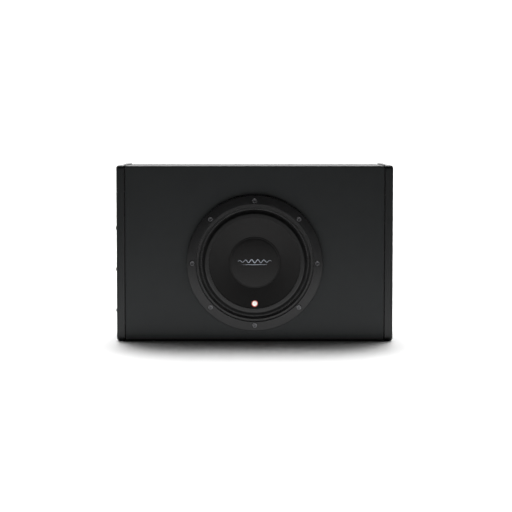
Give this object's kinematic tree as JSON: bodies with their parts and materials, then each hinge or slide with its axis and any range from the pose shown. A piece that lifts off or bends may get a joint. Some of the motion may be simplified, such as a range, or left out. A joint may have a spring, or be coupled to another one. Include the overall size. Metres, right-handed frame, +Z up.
{
  "type": "powered car subwoofer",
  "caption": "Sealed rectangular car subwoofer with one large front driver and a finned amplifier plate in its left end, carrying the controls, sockets and fuses.",
  "frame": {"origin": "floor level, under the middle of the whole object, screw heads and trim ring included", "axes": "+X to the right seen from the front, -Y out of the front, +Z up"},
  "size_m": [0.5299, 0.2246, 0.337],
  "materials": {
    "board_finish": "black textured covering on board",
    "cap_plastic": "black moulded, fine grain",
    "foam": "black foam",
    "wadding": "loose fibre",
    "amp_casting": "black anodised cast",
    "panel_steel": "satin black",
    "black_screw": "black oxide",
    "bright_screw": "bright zinc",
    "ring_plastic": "satin black",
    "basket_steel": "black powder coat",
    "surround_rubber": "black rubber",
    "cone_poly": "black, faint radial texture",
    "cap_poly": "satin black",
    "spider_cloth": "phenolic cloth",
    "former_aluminium": "bare",
    "coil_wire": "enamelled copper",
    "plated_steel": "zinc plated steel",
    "ferrite": "sintered ferrite",
    "board_green": "solder mask",
    "standoff_brass": "plain",
    "winding": "enamelled copper",
    "capacitor_sleeve": "shrink sleeve",
    "transistor_black": "epoxy",
    "bar_steel": "plain",
    "pot_metal": "plated",
    "knob_plastic": "soft-touch black",
    "switch_plastic": "black",
    "slider_plastic": "white",
    "jack_plate": "nickel plated",
    "jack_insert": "white",
    "socket_plastic": "black nylon",
    "terminal_plastic": "black nylon",
    "fuse_plastic": "clear coloured",
    "light_lens": "diffused",
    "housing_steel": "zinc plated",
    "grommet_rubber": "black",
    "wire_sleeve": "pvc sleeve",
    "strip_fibre": "phenolic board",
    "lug_brass": "tinned",
    "tinsel": "braided"
  },
  "bodies": {
    "enclosure": {"front_baffle": "board_finish", "rear_panel": "board_finish", "top_panel": "board_finish", "bottom_panel": "board_finish", "left_side_panel": "board_finish", "right_side_panel": "board_finish", "acoustic_wadding": "wadding", "left_end_cap": "cap_plastic", "right_end_cap": "cap_plastic", "left_cap_gasket": "foam", "right_cap_gasket": "foam", "end_cap_screws": "black_screw", "amp_plate": "amp_casting", "amp_plate_gasket": "foam", "amp_plate_screws": "black_screw", "control_panel": "panel_steel", "circuit_board": "board_green", "board_standoffs": "standoff_brass", "toroid": "winding", "filter_capacitors": "capacitor_sleeve", "power_transistors": "transistor_black", "transistor_clamp_bar": "bar_steel", "potentiometers": "pot_metal", "phase_switch_body": "switch_plastic", "rca_jack_shells": "jack_plate", "rca_jack_insulators": "jack_insert", "high_level_socket": "socket_plastic", "remote_level_jack": "socket_plastic", "power_terminal_block": "terminal_plastic", "terminal_clamp_screws": "bright_screw", "fuse_holder": "terminal_plastic", "indicator_lights": "light_lens", "amp_housing": "housing_steel", "wire_grommet": "grommet_rubber", "speaker_wires": "wire_sleeve", "driver_basket": "basket_steel", "basket_gasket": "foam", "trim_ring": "ring_plastic", "driver_screws": "bright_screw", "top_plate": "plated_steel", "magnet": "ferrite", "back_plate": "plated_steel", "terminal_strip": "strip_fibre", "terminal_lugs": "lug_brass"},
    "cone_assembly": {"cone": "cone_poly", "dust_cap": "cap_poly", "surround": "surround_rubber", "spider": "spider_cloth", "voice_coil_former": "former_aluminium", "voice_coil": "coil_wire", "tinsel_leads": "tinsel"},
    "gain_control": {"gain_knob": "knob_plastic", "gain_shaft": "pot_metal"},
    "crossover_control": {"crossover_knob": "knob_plastic", "crossover_shaft": "pot_metal"},
    "bass_control": {"bass_knob": "knob_plastic", "bass_shaft": "pot_metal"},
    "phase_slider": {"phase_switch_slider": "slider_plastic"},
    "first_fuse": {"fuse_1": "fuse_plastic"},
    "second_fuse": {"fuse_2": "fuse_plastic"}
  },
  "joints": [
    {"name": "cone_travel", "type": "slide", "parent": "enclosure", "child": "cone_assembly", "axis": [0, -1, 0], "range_m": [-0.008, 0.008], "stiffness_N_per_m": 5300, "deforming": ["surround", "spider", "tinsel_leads"]},
    {"name": "gain_turn", "type": "hinge", "parent": "enclosure", "child": "gain_control", "pos_m": [-0.255, 0.03825, 0.187], "axis": [1, 0, 0], "range_deg": [-150, 150]},
    {"name": "crossover_turn", "type": "hinge", "parent": "enclosure", "child": "crossover_control", "pos_m": [-0.255, 0.03825, 0.167], "axis": [1, 0, 0], "range_deg": [-150, 150]},
    {"name": "bass_turn", "type": "hinge", "parent": "enclosure", "child": "bass_control", "pos_m": [-0.255, 0.03825, 0.147], "axis": [1, 0, 0], "range_deg": [-150, 150]},
    {"name": "phase_slide", "type": "slide", "parent": "enclosure", "child": "phase_slider", "axis": [0, 0, 1], "range_m": [0, 0.004]},
    {"name": "fuse_1_pull", "type": "slide", "parent": "enclosure", "child": "first_fuse", "axis": [-1, 0, 0], "range_m": [0, 0.016]},
    {"name": "fuse_2_pull", "type": "slide", "parent": "enclosure", "child": "second_fuse", "axis": [-1, 0, 0], "range_m": [0, 0.016]}
  ]
}
